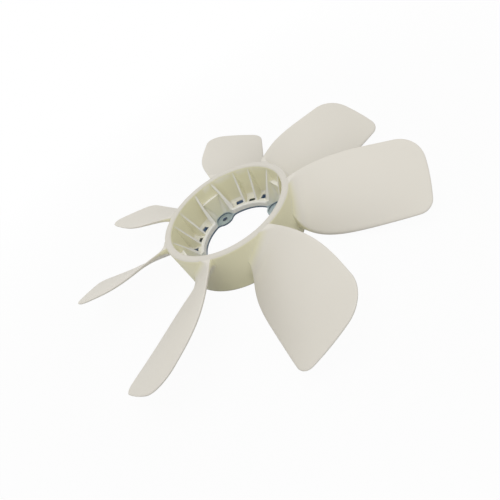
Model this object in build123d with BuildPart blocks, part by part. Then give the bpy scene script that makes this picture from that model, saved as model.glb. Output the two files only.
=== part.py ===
from build123d import *
import math
import os

# Radiator cooling fan: seven pitched blades round an open hub cup, one moulding, with a pressed
# steel ring moulded into the hub's floor. Millimetres. The origin is the centre of the bolt
# circle on the face where the ring's four pads seat, +Z is the fan's axis out of the cup's mouth,
# and +X passes through a bolt hole.

# Bolt circle of the clutch flange, which the hub is built round
lug_count = 4
bolt_circle_radius = 52.8
bolt_hole_radius = 3.4

# Hub cup
hub_margin = 25.9
hub_wall = 8.6
rim_height = 49.3
foot_depth = 2.2
wall_draft = 1.0
rim_rounding = 2.4

# Steel insert ring, its ears and their pressed bolt pads
ring_setback = 4.0
ring_cover = 8.2
ring_thickness = 2.0
ear_radius = 12.3
ear_corner = 7.0
pad_radius = 10.6
pad_depth = 1.0

# Hub floor over the ring: a rounded lip, the pocket floor and the grip under the ring's edge
lip_setback = 0.5
lip_width = 5.1
lip_height = 6.2
lip_rounding = 1.9
floor_thickness = 3.8
pocket_rounding = 5.0
pad_clearance = 2.1

# Webs that brace the hub wall: a pair beside each bolt lug and a pair between the lugs
web_thickness = 2.8
web_drop = 3.0
lug_half_width_wall = 12.6
lug_half_width_lip = 16.4
plain_web_angle = 9.0

# Bolt lugs: the recess that bares the ring, drafted back and sideways up to a ledge on the hub wall
ledge_height = 30.0
recess_reach_low = 11.8
recess_reach_high = 14.6
recess_corner_low = 9.0
recess_corner_high = 1.5
recess_inset_low = 3.5
mouth_rounding = 4.0

# Windows through the pocket floor, where the mould held the ring: a pair between each two lugs,
# and a smaller one midway, nearer the lip
window_gap = 4.4
window_length = 7.6
window_width = 8.0
window_angle = 18.3
middle_window_gap = 2.4
middle_window_length = 5.0
middle_window_width = 5.0

# Blades: uneven spacing, twist from root to tip, a bow across the chord and a flared root
tip_radius = 209.7
blade_angles = [-90.7, -38.6, 9.0, 63.7, 120.1, 161.8, 219.4]
stack_drop = 15.9
root_pitch = 41.7
tip_pitch = 23.9
twist_power = 2.8
bow_depth = 5.6
bow_power = 1.2
root_thickness = 3.8
tip_thickness = 2.0
edge_share = 0.6
flare_length = 13.0
flare_height = 6.0
under_flare_height = 3.6
blade_sections = 6
root_sections = 4

# Blade outline seen along the axis: distances to each side of the blade's line, hub to tip
leading_edge = [-18.6, -37.3, -42.5, -45.1, -46.4]
trailing_edge = [18.0, 29.3, 34.6, 31.7, 28.0]
leading_corner = 12.2
trailing_corner = 28.2

# Length by which a cutting or lofted shape runs past what it meets, and how near counts as on
overrun = 2.0
near = 0.01

# Heights and radii that follow from the sizes above
hub_radius = bolt_circle_radius + hub_margin
ring_inner_radius = bolt_circle_radius - ring_setback
ring_outer_radius = hub_radius - ring_cover
ring_bottom = pad_depth
ring_top = ring_bottom + ring_thickness
floor_top = ring_top + floor_thickness
lip_top = ring_top + lip_height
lip_inner_radius = ring_inner_radius + lip_setback
lip_outer_radius = lip_inner_radius + lip_width
lip_middle = lip_inner_radius + lip_width / 2
lean = math.tan(math.radians(wall_draft))
foot_radius = hub_radius - (rim_height + foot_depth) * lean
wall_middle = hub_radius - hub_wall / 2
rim_inner_radius = hub_radius - hub_wall
pocket_radius = rim_inner_radius - (rim_height - floor_top) * lean
grip_radius = bolt_circle_radius + pad_radius + pad_clearance
lug_pitch = 360 / lug_count
stack_height = rim_height - stack_drop
blade_span = tip_radius - hub_radius


# Insert ring: flat sheet with a rounded ear at each bolt, the pad round the hole pressed down
with BuildPart() as insert_ring:
    with BuildSketch(Plane.XY.offset(ring_bottom)):
        Circle(ring_outer_radius)
        Circle(ring_inner_radius, mode=Mode.SUBTRACT)
        with PolarLocations(bolt_circle_radius, lug_count):
            Circle(ear_radius)
        ear_roots = vertices().sort_by_distance((0, 0, 0))[: 2 * lug_count]
        fillet(ear_roots, ear_corner)
    extrude(amount=ring_thickness)
    with BuildSketch(Plane.XY):
        with PolarLocations(bolt_circle_radius, lug_count):
            Circle(pad_radius)
    extrude(amount=pad_depth)
    with BuildSketch(Plane.XY.offset(ring_top)):
        with PolarLocations(bolt_circle_radius, lug_count):
            Circle(pad_radius)
    extrude(amount=-pad_depth, mode=Mode.SUBTRACT)
    with BuildSketch(Plane.XY):
        with PolarLocations(bolt_circle_radius, lug_count):
            Circle(bolt_hole_radius)
    extrude(amount=ring_top, mode=Mode.SUBTRACT)
insert_ring.part.label = "insert_ring"


# A lug's plan: it widens from the hub wall to the lip, between the two slanted webs
lug_slope = (lug_half_width_lip - lug_half_width_wall) / (pocket_radius - lip_outer_radius)
web_shift = web_thickness / 2 * math.sqrt(1 + lug_slope**2)


def lug_outline(inner, outer, shift):
    """Corners of a lug's plan between two radii, its sides shifted out from the webs' middles."""
    low = lug_half_width_wall + (pocket_radius - inner) * lug_slope + shift
    high = lug_half_width_wall + (pocket_radius - outer) * lug_slope + shift
    return [(inner, low), (inner, -low), (outer, -high), (outer, high)]


# Lug recess: round where it meets the ring, drafting to a square back and the webs at the ledge
recess_start = ring_inner_radius - ear_radius
recess_levels = [
    (ring_top, bolt_circle_radius + recess_reach_low, recess_corner_low, recess_inset_low),
    (ledge_height, bolt_circle_radius + recess_reach_high, recess_corner_high, 0),
]
with BuildPart() as lug_recess:
    for level, back, corner, inset in recess_levels:
        with BuildSketch(Plane.XY.offset(level)):
            Polygon(*lug_outline(recess_start, back, -web_shift - inset), align=None)
            fillet(vertices().sort_by(Axis.X)[-2:], corner)
    loft(ruled=True)


# Webs: upright strips, and a block at each lug, under a cone that slopes from the wall to the lip
with BuildPart() as webs:
    with BuildSketch(Plane.XY.offset(ring_top)):
        with PolarLocations(0, lug_count):
            Polygon(*lug_outline(lip_middle, wall_middle, web_shift), align=None)
        for angle in (lug_pitch / 2 - plain_web_angle, lug_pitch / 2 + plain_web_angle):
            with PolarLocations((lip_middle + wall_middle) / 2, lug_count, start_angle=angle):
                Rectangle(wall_middle - lip_middle, web_thickness)
    extrude(amount=rim_height)
    with BuildSketch(Plane.XZ):
        with BuildLine():
            Polyline(
                (lip_middle, ring_top),
                (lip_outer_radius, lip_top),
                (rim_inner_radius, rim_height - web_drop),
                (wall_middle, rim_height - web_drop),
                (wall_middle, ring_top),
                close=True,
            )
        make_face()
    revolve(axis=Axis.Z, mode=Mode.INTERSECT)
    with BuildSketch(Plane.XY.offset(ledge_height)):
        with PolarLocations(0, lug_count):
            Polygon(*lug_outline(lip_middle, wall_middle, -web_shift), align=None)
    extrude(amount=rim_height, mode=Mode.SUBTRACT)
    with PolarLocations(0, lug_count):
        add(lug_recess.part, mode=Mode.SUBTRACT)


# One blade along +X, lofted through bowed sections that each turn to their own pitch. Their
# upper skins share a stacking line square to the fan's axis.
widest = max(-min(leading_edge), max(trailing_edge)) + overrun


def blade_section(station, flare, under_flare):
    """The blade's section at a distance from the axis, its upper and lower skins raised by flares."""
    along = min(max((station - hub_radius) / blade_span, 0), 1)
    root_slope = math.tan(math.radians(root_pitch))
    tip_slope = math.tan(math.radians(tip_pitch))
    pitch = math.atan(tip_slope + (root_slope - tip_slope) * (1 - along) ** twist_power)
    half = widest / math.cos(pitch)
    bow = bow_depth * abs(math.sin(math.pi * along)) ** bow_power
    middle = root_thickness + (tip_thickness - root_thickness) * along
    side = -bow - edge_share * middle - under_flare
    belly = bow + edge_share * middle - 2 * middle - under_flare
    across = Plane((station, 0, stack_height), (0, math.cos(pitch), math.sin(pitch)), (1, 0, 0))
    with BuildSketch(across) as profile:
        with BuildLine():
            upper = Bezier((-half, flare - bow), (0, flare + bow), (half, flare - bow))
            lower = Bezier((half, side), (0, belly), (-half, side))
            Line(upper @ 1, lower @ 0)
            Line(lower @ 1, upper @ 0)
        make_face()
    return profile.sketch


def evenly(start, end, count):
    """Evenly spaced values from start to end."""
    return [start + (end - start) * i / (count - 1) for i in range(count)]


def tip_point(aside):
    """Point of the tip circle at a distance to the side of the blade's line."""
    return (math.sqrt(tip_radius**2 - aside**2), aside)


with BuildPart() as planform:
    with BuildSketch(Plane.XY.offset(-foot_depth)):
        with BuildLine():
            edge_stations = evenly(wall_middle, tip_radius, len(leading_edge))[:-1]
            lead = Spline(*zip(edge_stations, leading_edge), tip_point(leading_edge[-1]))
            trail = Spline(*zip(edge_stations, trailing_edge), tip_point(trailing_edge[-1]))
            ThreePointArc(lead @ 1, (tip_radius, 0), trail @ 1)
            Line(lead @ 0, trail @ 0)
        make_face()
    extrude(amount=2 * rim_height)
    tip_corners = planform.edges().filter_by(Axis.Z).sort_by(Axis.X)[-2:].sort_by(Axis.Y)
    fillet(tip_corners[0], leading_corner)
    fillet(planform.edges().filter_by(Axis.Z).sort_by(Axis.Y)[-1], trailing_corner)

with BuildPart() as blade:
    blade_stations = evenly(wall_middle, tip_radius + overrun, blade_sections)
    loft([blade_section(x, 0, 0) for x in blade_stations])
    add(planform.part, mode=Mode.INTERSECT)

# The blade's root swells on both skins to meet the hub wall, flush with the rim
with BuildPart() as blade_root:
    root_stations = evenly(wall_middle, hub_radius + flare_length, root_sections)
    reaches = [max(x - hub_radius, 0) / flare_length for x in root_stations]
    swells = [(1 - reach) ** 2 for reach in reaches]
    flared = [(x, flare_height * s, under_flare_height * s) for x, s in zip(root_stations, swells)]
    loft([blade_section(*sizes) for sizes in flared])
    add(planform.part, mode=Mode.INTERSECT)
    split(bisect_by=Plane.XY.offset(rim_height), keep=Keep.BOTTOM)


# Fan moulding: the cup as one turned profile that closes round the ring's edge, then the webs,
# lug recesses, windows and blades
with BuildPart() as fan_moulding:
    with BuildSketch(Plane.XZ):
        with BuildLine():
            Polyline(
                (foot_radius, -foot_depth),
                (hub_radius, rim_height),
                (rim_inner_radius, rim_height),
                (pocket_radius, floor_top),
                (lip_outer_radius, floor_top),
                (lip_outer_radius, lip_top),
                (lip_inner_radius, lip_top),
                (lip_inner_radius, ring_top),
                (ring_outer_radius, ring_top),
                (ring_outer_radius, ring_bottom),
                (grip_radius, ring_bottom),
                (grip_radius, -foot_depth),
                close=True,
            )
        make_face()
    revolve(axis=Axis.Z)
    fillet(edges().filter_by(GeomType.CIRCLE).group_by(Axis.Z)[-1], rim_rounding)
    turned = edges().filter_by(GeomType.CIRCLE)
    fillet(turned.filter_by_position(Axis.Z, lip_top - near, lip_top + near), lip_rounding)
    turned = edges().filter_by(GeomType.CIRCLE)
    floor_rounds = turned.filter_by_position(Axis.Z, floor_top - near, floor_top + near)
    fillet(floor_rounds.sort_by(SortBy.RADIUS)[-1], pocket_rounding)
    add(webs.part)
    with BuildSketch(Plane.XY.offset(ring_top)):
        Circle(lip_inner_radius)
        with PolarLocations(0, lug_count):
            mouth_shift = -web_shift - recess_inset_low
            Polygon(*lug_outline(recess_start, bolt_circle_radius, mouth_shift), align=None)
        mouths = vertices().filter_by(lambda v: abs(math.hypot(v.X, v.Y) - lip_inner_radius) < near)
        fillet(mouths, mouth_rounding)
    extrude(amount=lip_height, mode=Mode.SUBTRACT)
    with PolarLocations(0, lug_count):
        add(lug_recess.part, mode=Mode.SUBTRACT)
    window_middle = lip_outer_radius + window_gap + window_length / 2
    middle_window_middle = lip_outer_radius + middle_window_gap + middle_window_length / 2
    with BuildSketch(Plane.XY.offset(ring_top)):
        with PolarLocations(middle_window_middle, lug_count, start_angle=lug_pitch / 2):
            Rectangle(middle_window_length, middle_window_width)
        for angle in (lug_pitch / 2 - window_angle, lug_pitch / 2 + window_angle):
            with PolarLocations(window_middle, lug_count, start_angle=angle):
                Rectangle(window_length, window_width)
    extrude(amount=floor_thickness + pocket_rounding, mode=Mode.SUBTRACT)
    for angle in blade_angles:
        with Locations(Location((0, 0, 0), (0, 0, angle))):
            add(blade.part)
            add(blade_root.part)
fan_moulding.part.label = "fan_moulding"

os.makedirs("parts", exist_ok=True)
export_step(fan_moulding.part, "parts/fan_moulding.step")
export_step(insert_ring.part, "parts/insert_ring.step")
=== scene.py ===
import math

import bmesh
import bpy
import numpy as np
from mathutils import Matrix, Vector


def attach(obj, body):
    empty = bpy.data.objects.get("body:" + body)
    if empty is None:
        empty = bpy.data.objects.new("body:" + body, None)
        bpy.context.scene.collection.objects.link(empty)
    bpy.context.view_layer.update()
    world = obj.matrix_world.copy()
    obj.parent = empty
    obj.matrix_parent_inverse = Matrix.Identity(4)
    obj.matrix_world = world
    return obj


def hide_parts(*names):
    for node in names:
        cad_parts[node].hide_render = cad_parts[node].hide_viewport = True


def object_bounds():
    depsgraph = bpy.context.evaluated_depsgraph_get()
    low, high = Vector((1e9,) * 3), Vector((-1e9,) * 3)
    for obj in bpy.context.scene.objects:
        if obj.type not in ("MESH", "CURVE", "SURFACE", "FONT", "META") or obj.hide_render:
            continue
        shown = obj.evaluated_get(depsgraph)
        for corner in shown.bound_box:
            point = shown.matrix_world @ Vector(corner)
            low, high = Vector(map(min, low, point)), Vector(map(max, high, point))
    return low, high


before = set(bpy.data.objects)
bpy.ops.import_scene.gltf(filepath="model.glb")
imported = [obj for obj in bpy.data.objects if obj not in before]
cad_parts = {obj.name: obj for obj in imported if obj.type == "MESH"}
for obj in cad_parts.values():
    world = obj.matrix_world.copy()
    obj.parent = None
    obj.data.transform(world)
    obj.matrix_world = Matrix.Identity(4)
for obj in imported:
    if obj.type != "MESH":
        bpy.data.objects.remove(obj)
cad_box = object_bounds()


# Plastic of the fan: undyed nylon, cream. Its colour also holds painted light and shade, set by
# place
# and by occlusion: painted yellow shade on upright walls, painted highlights on the lip, web tops
# and ledges, a painted glow in deep pockets and painted dark shade in the windows. The yellow and
# the glow stand in for light coming through the nylon. It is moulded in a lightly blasted steel
# tool, which leaves a satin skin with a fine grain and no sharp edge anywhere.
class Wire:
    """A socket of a node tree. Arithmetic on wires adds Math nodes, and node() adds any other."""

    def __init__(self, tree, socket=None):
        self.tree = tree
        self.socket = socket

    def node(self, kind, settings=None, sockets=None, out=0):
        made = self.tree.nodes.new(kind)
        for name, value in (settings or {}).items():
            setattr(made, name, value)
        for name, value in (sockets or {}).items():
            if isinstance(value, Wire):
                self.tree.links.new(value.socket, made.inputs[name])
            else:
                made.inputs[name].default_value = value
        return Wire(self.tree, made.outputs[out])

    def maths(self, operation, *values):
        return self.node("ShaderNodeMath", {"operation": operation}, dict(enumerate(values)))

    def clamped(self, low, high):
        return self.node("ShaderNodeClamp", None, {"Value": self, "Min": low, "Max": high})

    def mixed(self, a, b):
        """Colour that goes from a to b as this wire goes from 0 to 1."""
        ends = {"Factor": self, "A": a, "B": b}
        return self.node("ShaderNodeMix", {"data_type": "RGBA"}, ends, "Result")

    def into(self, node, name):
        self.tree.links.new(self.socket, node.inputs[name])

    def __add__(self, other):
        return self.maths("ADD", self, other)

    def __sub__(self, other):
        return self.maths("SUBTRACT", self, other)

    def __rsub__(self, other):
        return self.maths("SUBTRACT", other, self)

    def __mul__(self, other):
        return self.maths("MULTIPLY", self, other)

    def __truediv__(self, other):
        return self.maths("DIVIDE", self, other)

    def __rtruediv__(self, other):
        return self.maths("DIVIDE", other, self)

    def __pow__(self, other):
        return self.maths("POWER", self, other)

    __radd__ = __add__


def new_material(name):
    """A material, a wire into its tree and its shader node."""
    material = bpy.data.materials.new(name)
    material.use_nodes = True
    return material, Wire(material.node_tree), material.node_tree.nodes["Principled BSDF"]


pocket_reach = 0.045
outer_half = 0.0745
rounding_foot = 0.0466
rim_level = 0.0478
rim_reach = 0.0790
floor_level = 0.0068
window_foot = 0.003
window_circle = 0.0615
window_reach = 0.006
ledge_level = 0.030
ledge_reach = 0.071
cream_low, cream_high = (0.700, 0.667, 0.593, 1), (0.730, 0.696, 0.623, 1)
lip_highlight = (0.775, 0.765, 0.73, 1)
web_highlight = (0.81, 0.79, 0.72, 1)
wall_shade_yellow = (0.79, 0.76, 0.53, 1)
pocket_floor_glow, pocket_wall_glow = (0.90, 0.885, 0.815, 1), (0.89, 0.865, 0.70, 1)
ledge_highlight = (0.86, 0.845, 0.79, 1)
rim_cream = (0.655, 0.625, 0.555, 1)
window_shade_blue, window_shade_olive = (0.15, 0.22, 0.36, 1), (0.17, 0.18, 0.16, 1)
natural_plastic, plastic, plastic_shader = new_material("natural_plastic")
place = plastic.node("ShaderNodeTexCoord", out="Object")
x, y, z = (plastic.node("ShaderNodeSeparateXYZ", None, {0: place}, axis) for axis in "XYZ")
radius = plastic.maths("SQRT", x * x + y * y)
flow = plastic.node("ShaderNodeTexNoise", None, {"Vector": place, "Scale": 14.0, "Detail": 2.0})
grain = plastic.node("ShaderNodeTexNoise", None, {"Vector": place, "Scale": 1600.0, "Detail": 1.0})
occlusion = {"samples": 8, "only_local": True}
open_sky = plastic.node("ShaderNodeAmbientOcclusion", occlusion, {"Distance": pocket_reach}, "AO")
depth = ((1 - open_sky) * 1.25 - 0.12).clamped(0.0, 1.0)
facing = plastic.node("ShaderNodeNewGeometry", out="Normal")
facing_up = plastic.node("ShaderNodeSeparateXYZ", None, {0: facing}, "Z")
facing_up = plastic.maths("ABSOLUTE", facing_up)

# Colour: cream blades, painted highlights on web tops and lip, painted yellow shade on upright
# walls, and a painted glow in deep pockets
outside = plastic.maths("GREATER_THAN", radius, outer_half)
outside = plastic.maths("MAXIMUM", outside, plastic.maths("GREATER_THAN", z, rounding_foot))
upright = ((outside * 0.40 + 0.30 - facing_up) / (outside * 0.23 + 0.22)).clamped(0.0, 1.0)
out_from_lip = ((radius - 0.053) / 0.017).clamped(0.0, 1.0)
on_hub = ((0.098 - radius) / 0.014).clamped(0.0, 1.0)
cream = flow.mixed(cream_low, cream_high)
# Painted highlights: a paler lip, and paler surfaces inside the hub such as the web tops
pale = out_from_lip.mixed(lip_highlight, outside.mixed(web_highlight, cream))
# Painted shade: upright walls inside the hub, out from the lip, turn yellow, standing in for light
# coming through the nylon
through = (upright * out_from_lip * on_hub).mixed(pale, wall_shade_yellow)
# Painted glow: where occlusion is deep, pocket floors and walls turn lighter and more yellow
deep = depth.mixed(through, upright.mixed(pocket_floor_glow, pocket_wall_glow))

# A painted highlight on the ledges in the bolt lugs, a darker cream on the rim's top, and painted
# dark shade in the windows
# Painted highlight on the flat tops of the ledges in the bolt lugs
on_ledge = plastic.maths("COMPARE", z, ledge_level, 0.0006)
on_ledge = on_ledge * plastic.maths("LESS_THAN", radius, ledge_reach)
on_ledge = on_ledge * plastic.maths("GREATER_THAN", facing_up, 0.8)
at_rim = ((z - rim_level) / 0.0013).clamped(0.0, 1.0)
at_rim = at_rim * plastic.maths("LESS_THAN", radius, rim_reach) * (1 - upright)
rimmed = at_rim.mixed(on_ledge.mixed(deep, ledge_highlight), rim_cream)
# Painted dark shade in the floor's windows: blue in the side windows, olive in the middle ones
turned_off = plastic.maths("ABSOLUTE", x * y) / (radius * radius)
midway = plastic.maths("GREATER_THAN", turned_off, 0.475)
sunk = ((floor_level - z) / 0.0012).clamped(0.0, 1.0)
sunk = sunk * plastic.maths("GREATER_THAN", z, window_foot)
sunk = sunk * plastic.maths("GREATER_THAN", turned_off, 0.3)
sunk = sunk * plastic.maths("COMPARE", radius, window_circle, window_reach)
painted_window_shade = midway.mixed(window_shade_blue, window_shade_olive)
sunk.mixed(rimmed, painted_window_shade).into(plastic_shader, "Base Color")
(flow * 0.10 + grain * 0.08 + 0.40).into(plastic_shader, "Roughness")
soft_edges = plastic.node("ShaderNodeBevel", {"samples": 6}, {"Radius": 0.0009})
bumps = {"Strength": 0.06, "Distance": 0.00005, "Height": grain, "Normal": soft_edges}
plastic.node("ShaderNodeBump", None, bumps).into(plastic_shader, "Normal")
plastic_shader.inputs["IOR"].default_value = 1.48


# Hub cup: the middle of the moulding, with its rim, webs, bolt recesses, windows and lip. Its
# inside is the solid's own, with the windows wider and the ledges deeper. The outer wall and the
# rim's top are spun afresh from the rim's inner rounding, to run on smooth behind the blades.
hub_radius = 0.0787
hub_wall = 0.0086
rim_height = 0.0493
rim_rounding = 0.0024
rounding_steps = 8
wall_steps = 8
wall_lean = math.radians(1.0)
window_span = (0.0029, 0.0125)
window_ring = (0.055, 0.0705)
window_turns = [0, 2.3, 7.5, 10.5, 14.8, 18.3, 45]
widened_turns = [0, 4.3, 7.5, 10.5, 12.4, 18.3, 45]
ledge_height = 0.030
ledge_edge = 0.0675
ledge_corner = 0.0018
ledge_deepening = 0.0026
ledge_spread = 0.067
lug_pitch = math.radians(90)
margin = 0.00005
foot = cad_box[0].z
inner_edge = hub_radius - hub_wall + rim_rounding


def around_axis(point):
    return math.atan2(point.co.y, point.co.x)


cup = bmesh.new()
cup.from_mesh(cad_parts["fan_moulding"].data)
bmesh.ops.remove_doubles(cup, verts=cup.verts, dist=margin / 5)
outer_faces = []
for face in cup.faces:
    widest = max(math.hypot(v.co.x, v.co.y) for v in face.verts)
    highest = max(v.co.z for v in face.verts)
    if widest > inner_edge + margin and highest > foot + margin:
        outer_faces.append(face)
bmesh.ops.delete(cup, geom=outer_faces, context="FACES")

for point in cup.verts:
    wide = math.hypot(point.co.x, point.co.y)
    if window_span[0] < point.co.z < window_span[1] and window_ring[0] < wide < window_ring[1]:
        aside = math.degrees(around_axis(point)) % 90 - 45
        widened = math.copysign(np.interp(abs(aside), window_turns, widened_turns), aside)
        point.co.rotate(Matrix.Rotation(math.radians(widened - aside), 3, "Z"))
for point in cup.verts:
    lug_turn = round(around_axis(point) / lug_pitch) * lug_pitch
    lug_way = Vector((math.cos(lug_turn), math.sin(lug_turn), 0))
    lug_side = Vector((-lug_way.y, lug_way.x, 0))
    behind = ledge_edge - point.co.dot(lug_way)
    if abs(point.co.z - ledge_height) < margin and 0 < behind < ledge_corner:
        sideways = ledge_spread * point.co.dot(lug_side)
        point.co += lug_side * sideways - lug_way * ledge_deepening

rim_points = set()
for edge in cup.edges:
    if edge.is_boundary and min(v.co.z for v in edge.verts) > rim_height - margin:
        rim_points.update(edge.verts)
rim_points = sorted(rim_points, key=around_axis)
centre = hub_radius - rim_rounding * math.tan(wall_lean) - rim_rounding / math.cos(wall_lean)
profile = []
for step in range(rounding_steps + 1):
    turn = math.pi / 2 - (math.pi / 2 + wall_lean) * step / rounding_steps
    height = rim_height + rim_rounding * (math.sin(turn) - 1)
    profile.append((centre + rim_rounding * math.cos(turn), height))
top_height = profile[-1][1]
for step in range(1, wall_steps):
    height = top_height + (foot - top_height) * step / wall_steps
    profile.append((hub_radius - (rim_height - height) * math.tan(wall_lean), height))
turns = [around_axis(point) for point in rim_points]
above = rim_points
for wide, height in profile:
    circle = [(wide * math.cos(turn), wide * math.sin(turn), height) for turn in turns]
    below = [cup.verts.new(spot) for spot in circle]
    for i in range(len(below)):
        cup.faces.new((above[i - 1], below[i - 1], below[i], above[i]))
    above = below
bmesh.ops.bridge_loops(cup, edges=[edge for edge in cup.edges if edge.is_boundary])


# Blades: broad, twisted and bowed, all alike but unevenly spaced so that the fan hums less. Each
# starts as a flat plate with a rounded edge, cut to the blade's outline seen along the axis; the
# node tree then gives it pitch, bow, thickness and root fillet and sets the copies round the hub.
tip_radius = 0.2097
root_station = hub_radius - hub_wall / 2
leading_edge = [-0.0186, -0.0373, -0.0425, -0.0451, -0.0464]
trailing_edge = [0.0180, 0.0293, 0.0346, 0.0317, 0.0280]
leading_corner = 0.0122
trailing_corner = 0.0282
edge_rounding = 0.0011
plate_half = 0.001
edge_points, corner_points, tip_points = 120, 30, 60
root_share, root_rows, outer_rows, columns = 0.1, 18, 55, 31
edge_steps = 6


def edge_curve(sides):
    """Curve through an edge's distances aside, from inside the hub's wall to the tip circle."""
    stations = np.linspace(root_station, tip_radius, len(sides))
    stations[-1] = math.sqrt(tip_radius**2 - sides[-1] ** 2)
    return np.poly1d(np.polyfit(stations, sides, len(sides) - 1))


def corner_centre(curve, radius, inward):
    """Where an edge's tip rounding starts, and the rounding's centre."""
    low, high = tip_radius / 2, tip_radius
    while high - low > 1e-7:
        station = (low + high) / 2
        slope = curve.deriv()(station)
        aside = inward * radius / math.hypot(slope, 1)
        centre = np.array([station - slope * aside, curve(station) + aside])
        low, high = (station, high) if np.hypot(*centre) < tip_radius - radius else (low, station)
    return station, centre


def arc(centre, radius, start, end, count):
    turns = np.linspace(start, end, count)
    return np.stack([centre[0] + radius * np.cos(turns), centre[1] + radius * np.sin(turns)], -1)


def edge_to_tip(sides, radius, inward):
    """An edge's points from the root to the middle of its tip rounding, and those on to the tip."""
    curve = edge_curve(sides)
    station, centre = corner_centre(curve, radius, inward)
    stations = np.linspace(root_station, station, edge_points)
    line = np.stack([stations, curve(stations)], -1)
    start = math.atan2(*(line[-1] - centre)[::-1])
    end = math.atan2(*centre[::-1])
    middle = (start + end) / 2
    on = arc(centre, radius, start, middle, corner_points)
    return np.concatenate([line, on[1:]]), arc(centre, radius, middle, end, corner_points), end


def walked(points, shares):
    """Points at shares of the length along a line of points."""
    run = np.append(0, np.cumsum(np.hypot(*np.diff(points, axis=0).T)))
    return np.stack([np.interp(shares * run[-1], run, axis) for axis in points.T], -1)


lead, lead_on, lead_turn = edge_to_tip(leading_edge, leading_corner, 1)
trail, trail_on, trail_turn = edge_to_tip(trailing_edge, trailing_corner, -1)
tip_arc = arc((0, 0), tip_radius, lead_turn, trail_turn, tip_points)
tip = np.concatenate([lead_on, tip_arc[1:-1], trail_on[::-1]])
near_root = np.linspace(0, root_share, root_rows, endpoint=False)
along = np.append(near_root, np.linspace(root_share, 1, outer_rows))
across = np.linspace(0, 1, columns)
rows = len(along)
outline = np.concatenate(
    [walked(lead, along), walked(tip, across)[1:-1], walked(trail, along)[::-1]]
)
tangent = np.gradient(outline, axis=0)
outward = np.stack([tangent[:, 1], -tangent[:, 0]], -1) / np.hypot(*tangent.T)[:, None]
outward[[0, -1]] = (0, -1), (0, 1)
inset = outline - edge_rounding * outward
lead, tip, trail = inset[:rows], inset[rows - 1 : rows + columns - 1], inset[-1 : -rows - 1 : -1]
u, v = along[:, None, None], across[None, :, None]
straight_tip = (1 - v) * lead[-1] + v * trail[-1]
plate = (1 - v) * lead[:, None] + v * trail[:, None] + u * (tip[None] - straight_tip)

skin_points = rows * columns
points = [np.append(p, plate_half) for p in plate.reshape(-1, 2)]
points += [np.append(p, -plate_half) for p in plate.reshape(-1, 2)]
border = [i * columns for i in range(rows)] + [(rows - 1) * columns + j for j in range(1, columns)]
border += [i * columns + columns - 1 for i in range(rows - 2, -1, -1)]
loops = [border]
for step in range(1, edge_steps):
    turn = math.pi * step / edge_steps
    loops.append(list(range(len(points), len(points) + len(border))))
    for base, out in zip(inset, outward):
        points.append((*(base + edge_rounding * math.sin(turn) * out), plate_half * math.cos(turn)))
loops.append([i + skin_points for i in border])
faces = []
for i in range(rows - 1):
    for j in range(columns - 1):
        a = i * columns + j
        faces.append((a, a + columns, a + columns + 1, a + 1))
        faces.append(tuple(skin_points + k for k in (a, a + 1, a + columns + 1, a + columns)))
for high, low in zip(loops, loops[1:]):
    for k in range(len(border) - 1):
        faces.append((high[k], low[k], low[k + 1], high[k + 1]))
root_end = list(range(columns)) + [loop[-1] for loop in loops[1:-1]]
root_end += [skin_points + j for j in range(columns - 1, -1, -1)]
root_end += [loop[0] for loop in loops[-2:0:-1]]
faces.append(tuple(root_end))
plate_mesh = bpy.data.meshes.new("blade_plate")
plate_mesh.from_pydata(points, [], faces)
plate_mesh.polygons.foreach_set("use_smooth", [True] * len(faces))
blades = bpy.data.objects.new("blades", plate_mesh)
bpy.context.scene.collection.objects.link(blades)

rule = bpy.data.node_groups.new("blade_rule", "GeometryNodeTree")
rule.interface.new_socket("Geometry", in_out="INPUT", socket_type="NodeSocketGeometry")
rule.interface.new_socket("Geometry", in_out="OUTPUT", socket_type="NodeSocketGeometry")
blade_sizes = {
    "Hub radius": hub_radius,
    "Tip radius": tip_radius,
    "Rim height": rim_height - margin,
    "Stack height": 0.0334,
    "Root slope": math.tan(math.radians(41.7)),
    "Tip slope": math.tan(math.radians(23.9)),
    "Twist power": 2.8,
    "Half chord": 0.0484,
    "Bow depth": 0.0056,
    "Bow power": 1.2,
    "Root thickness": 0.0038,
    "Tip thickness": 0.0020,
    "Edge share": 0.6,
    "Fillet height": 0.0090,
    "Under fillet height": 0.0050,
    "Fillet length": 0.0140,
    "Blend": 0.0015,
}
blade_turns = [-90.7, -38.6, 9.0, 63.7, 120.1, 161.8, 219.4]
blade_sizes.update({f"Turn {i + 1}": math.radians(turn) for i, turn in enumerate(blade_turns)})
sockets = {}
for name in blade_sizes:
    sockets[name] = rule.interface.new_socket(name, in_out="INPUT", socket_type="NodeSocketFloat")
law = Wire(rule)
given = rule.nodes.new("NodeGroupInput")
size = {name: Wire(rule, given.outputs[name]) for name in blade_sizes}
spot = law.node("GeometryNodeInputPosition")
x, y, z = (law.node("ShaderNodeSeparateXYZ", None, {0: spot}, axis) for axis in "XYZ")
reach = ((x - size["Hub radius"]) / (size["Tip radius"] - size["Hub radius"])).clamped(0.0, 1.0)
twist = (1 - reach) ** size["Twist power"]
slope = size["Tip slope"] + (size["Root slope"] - size["Tip slope"]) * twist
cosine = 1 / (slope * slope + 1) ** 0.5
sine = slope * cosine
half = size["Half chord"] / cosine
bow = size["Bow depth"] * law.maths("SINE", reach * math.pi) ** size["Bow power"]
middle = size["Root thickness"] + (size["Tip thickness"] - size["Root thickness"]) * reach


def skin_height(drop, sag):
    """Height of a skin that lies drop under the stacking line and sags at the half chord."""
    chord = y / cosine
    for _ in range(2):
        share = chord / half
        chord = (y - (drop + sag * share * share) * sine) / cosine
    share = chord / half
    return size["Stack height"] + chord * sine - (drop + sag * share * share) * cosine


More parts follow.
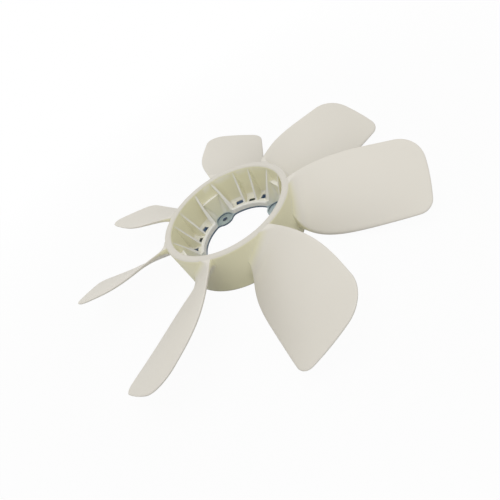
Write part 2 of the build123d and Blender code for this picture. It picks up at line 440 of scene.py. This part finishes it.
off_wall = ((x * x + y * y) ** 0.5 - size["Hub radius"]) / size["Fillet length"]
rise = 1 - off_wall.clamped(0.0, 1.0)
fillet = (1 - law.maths("SQRT", 1 - rise * rise)) / cosine
upper = skin_height(0.0, bow)
limit = law.maths("MAXIMUM", upper, size["Rim height"])
upper = law.maths("SMOOTH_MIN", upper + size["Fillet height"] * fillet, limit, size["Blend"])
lower = skin_height(middle, bow - (1 - size["Edge share"]) * middle)
lower = lower - size["Under fillet height"] * fillet
height = lower + (upper - lower) * (z / (2 * plate_half) + 0.5)
formed = law.node("ShaderNodeCombineXYZ", None, {"X": x, "Y": y, "Z": height})
flat = Wire(rule, given.outputs[0])
blade = law.node("GeometryNodeSetPosition", None, {"Geometry": flat, "Position": formed})
marks = law.node("GeometryNodePoints", None, {"Count": len(blade_turns)})
picker = rule.nodes.new("GeometryNodeIndexSwitch")
picker.data_type = "FLOAT"
while len(picker.index_switch_items) < len(blade_turns):
    picker.index_switch_items.new()
law.node("GeometryNodeInputIndex").into(picker, "Index")
for i in range(len(blade_turns)):
    size[f"Turn {i + 1}"].into(picker, i + 1)
turned = law.node("ShaderNodeCombineXYZ", None, {"Z": Wire(rule, picker.outputs[0])})
turned = law.node("FunctionNodeEulerToRotation", None, {0: turned})
placing = {"Points": marks, "Instance": blade, "Rotation": turned}
ring = law.node("GeometryNodeInstanceOnPoints", None, placing)
ring = law.node("GeometryNodeRealizeInstances", None, {"Geometry": ring})
ring = law.node("GeometryNodeSetMaterial", None, {"Geometry": ring, "Material": natural_plastic})
ring.into(rule.nodes.new("NodeGroupOutput"), 0)

maker = blades.modifiers.new("blade_rule", "NODES")
maker.node_group = rule
for name, value in blade_sizes.items():
    maker[sockets[name].identifier] = value
bpy.context.view_layer.update()
evaluated = blades.evaluated_get(bpy.context.evaluated_depsgraph_get())
blade_mesh = bpy.data.meshes.new_from_object(evaluated)
bpy.data.objects.remove(blades)


# Fan body: the cup and its blades, which come out of the mould as one piece of nylon and so are
# one mesh here. The blades' roots end inside the hub's wall, and bolts hold it to the clutch.
sharp_angle = math.radians(32)
cup_mesh = bpy.data.meshes.new("cup")
cup.to_mesh(cup_mesh)
cup.free()
body = bmesh.new()
body.from_mesh(blade_mesh)
body.from_mesh(cup_mesh)
for face in body.faces:
    face.smooth = True
    face.material_index = 0
fan_mesh = bpy.data.meshes.new("fan_body")
body.to_mesh(fan_mesh)
body.free()
fan_mesh.materials.clear()
fan_mesh.materials.append(natural_plastic)
for layer in ("custom_normal", "sharp_edge"):
    if layer in fan_mesh.attributes:
        fan_mesh.attributes.remove(fan_mesh.attributes[layer])
fan_mesh.set_sharp_from_angle(angle=sharp_angle)
fan_body = bpy.data.objects.new("fan_body", fan_mesh)
bpy.context.scene.collection.objects.link(fan_body)
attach(fan_body, "root")
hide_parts("fan_moulding")


# Insert ring: pressed from steel sheet, zinc plated, and moulded into the hub's floor. Its ears
# show bare in the lug recesses, and its edge in the floor's windows.
plating_low, plating_high = (0.43, 0.52, 0.57, 1), (0.51, 0.60, 0.65, 1)
edge_shade = (0.075, 0.10, 0.135, 1)
steel_shade_blue = (0.15, 0.22, 0.36, 1)
cover_reach = 0.012
plated_steel, steel, steel_shader = new_material("plated_steel")
place = steel.node("ShaderNodeTexCoord", out="Object")
spangle = steel.node("ShaderNodeTexNoise", None, {"Vector": place, "Scale": 90.0, "Detail": 3.0})
bare = spangle.mixed(plating_low, plating_high)
# Painted shade: steel where little sky reaches, as in the windows, turns dark blue
open_sky = steel.node("ShaderNodeAmbientOcclusion", {"samples": 8}, {"Distance": cover_reach}, "AO")
lit = ((open_sky - 0.24) / 0.22).clamped(0.0, 1.0)
facing = steel.node("ShaderNodeNewGeometry", out="Normal")
facing_up = steel.node("ShaderNodeSeparateXYZ", None, {0: facing}, "Z")
facing_up = steel.maths("ABSOLUTE", facing_up)
# Painted shade: upright steel faces, the sheet's cut edges and hole walls, are darkened
sheared = ((0.6 - facing_up) / 0.4).clamped(0.0, 1.0)
sheet_face = sheared.mixed(bare, edge_shade)
lit.mixed(steel_shade_blue, sheet_face).into(steel_shader, "Base Color")
(spangle * 0.18 + 0.34).into(steel_shader, "Roughness")
steel_shader.inputs["Metallic"].default_value = 0.85
ring_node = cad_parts["insert_ring"]
ring_node.data.materials.clear()
ring_node.data.materials.append(plated_steel)


# Floor: a plain white sheet under the hub's foot. The camera sees it white with the fan's faint
# shadow, and it throws a middling light back at the fan.
spread = 40.0
clearance = 0.0001
fade_start, fade_width = 0.25, 0.6
foot_middle, foot_half = 0.066, 0.012
rest = cad_box[0].z - clearance
floor_mesh = bpy.data.meshes.new("floor")
corners = [(-spread, -spread, rest), (spread, -spread, rest)]
corners += [(spread, spread, rest), (-spread, spread, rest)]
floor_mesh.from_pydata(corners, [], [(0, 1, 2, 3)])
floor = bpy.data.objects.new("floor", floor_mesh)
bpy.context.scene.collection.objects.link(floor)
white_sheet, sheet, sheet_shader = new_material("white_sheet")
sheet_shader.inputs["Base Color"].default_value = (0.5, 0.5, 0.5, 1)
sheet_shader.inputs["Roughness"].default_value = 0.9
place = sheet.node("ShaderNodeTexCoord", out="Object")
far = sheet.node("ShaderNodeVectorMath", {"operation": "LENGTH"}, {0: place}, "Value")
fading = ((far - fade_start) / fade_width).clamped(0.0, 1.0)
under_hub = sheet.maths("COMPARE", far, foot_middle, foot_half)
seen = sheet.node("ShaderNodeLightPath", out="Is Camera Ray")
seen = seen + sheet.node("ShaderNodeLightPath", out="Is Glossy Ray")
seen = (seen + sheet.node("ShaderNodeLightPath", out="Is Transmission Ray")).clamped(0.0, 1.0)
share = (fading * 0.04 + 0.96) * (1 - under_hub)
white = sheet.node("ShaderNodeEmission", None, {"Color": (1, 1, 1, 1), "Strength": 1.0})
matt = Wire(sheet.tree, sheet_shader.outputs[0])
sheet_mix = sheet.node("ShaderNodeMixShader", None, {0: seen * share, 1: matt, 2: white})
sheet_mix.into(sheet.tree.nodes["Material Output"], "Surface")
floor_mesh.materials.append(white_sheet)


# Light: a broad soft panel above the fan, a weaker one from the camera's side, and an even surround
# that looks white but lights the fan less. Each panel has its place, width and power.
panels = {
    "overhead": ((0, 0, 1.2), 1.2, 4.8),
    "front": ((-0.1, -0.95, 0.75), 0.8, 1.0),
}
for name, (spot, width, energy) in panels.items():
    panel = bpy.data.lights.new(name, "AREA")
    panel.shape = "DISK"
    panel.size = width
    panel.energy = energy
    panel_object = bpy.data.objects.new(name, panel)
    panel_object.location = spot
    panel_object.rotation_euler = (-Vector(spot)).to_track_quat("-Z", "Y").to_euler()
    bpy.context.scene.collection.objects.link(panel_object)
surround_light = 0.66
surround = bpy.data.worlds.new("surround")
surround.use_nodes = True
around = Wire(surround.node_tree)
backdrop = surround.node_tree.nodes["Background"]
backdrop.inputs["Color"].default_value = (1, 1, 1, 1)
seen = around.node("ShaderNodeLightPath", out="Is Camera Ray")
seen = seen + around.node("ShaderNodeLightPath", out="Is Glossy Ray")
seen = (seen + around.node("ShaderNodeLightPath", out="Is Transmission Ray")).clamped(0.0, 1.0)
(seen * (1 - surround_light) + surround_light).into(backdrop, "Strength")
bpy.context.scene.world = surround
bpy.context.scene.view_settings.view_transform = "Standard"


# Camera: above the cup's mouth and to one side, turned so that the fan's axis leans left.
camera = bpy.data.cameras.new("camera")
camera.sensor_width = 36.0
camera.lens = 28.66
camera.shift_x = 0.0113
camera.shift_y = -0.0243
camera.clip_start = 0.01
camera_object = bpy.data.objects.new("camera", camera)
bpy.context.scene.collection.objects.link(camera_object)
stand = Vector((-0.0496, -0.3822, 0.2767))
target = Vector((0, 0, -0.0022))
level = (target - stand).to_track_quat("-Z", "Y").to_matrix().to_4x4()
roll = Matrix.Rotation(math.radians(-34.503), 4, "Z")
camera_object.matrix_world = Matrix.Translation(stand) @ level @ roll
bpy.context.scene.camera = camera_object
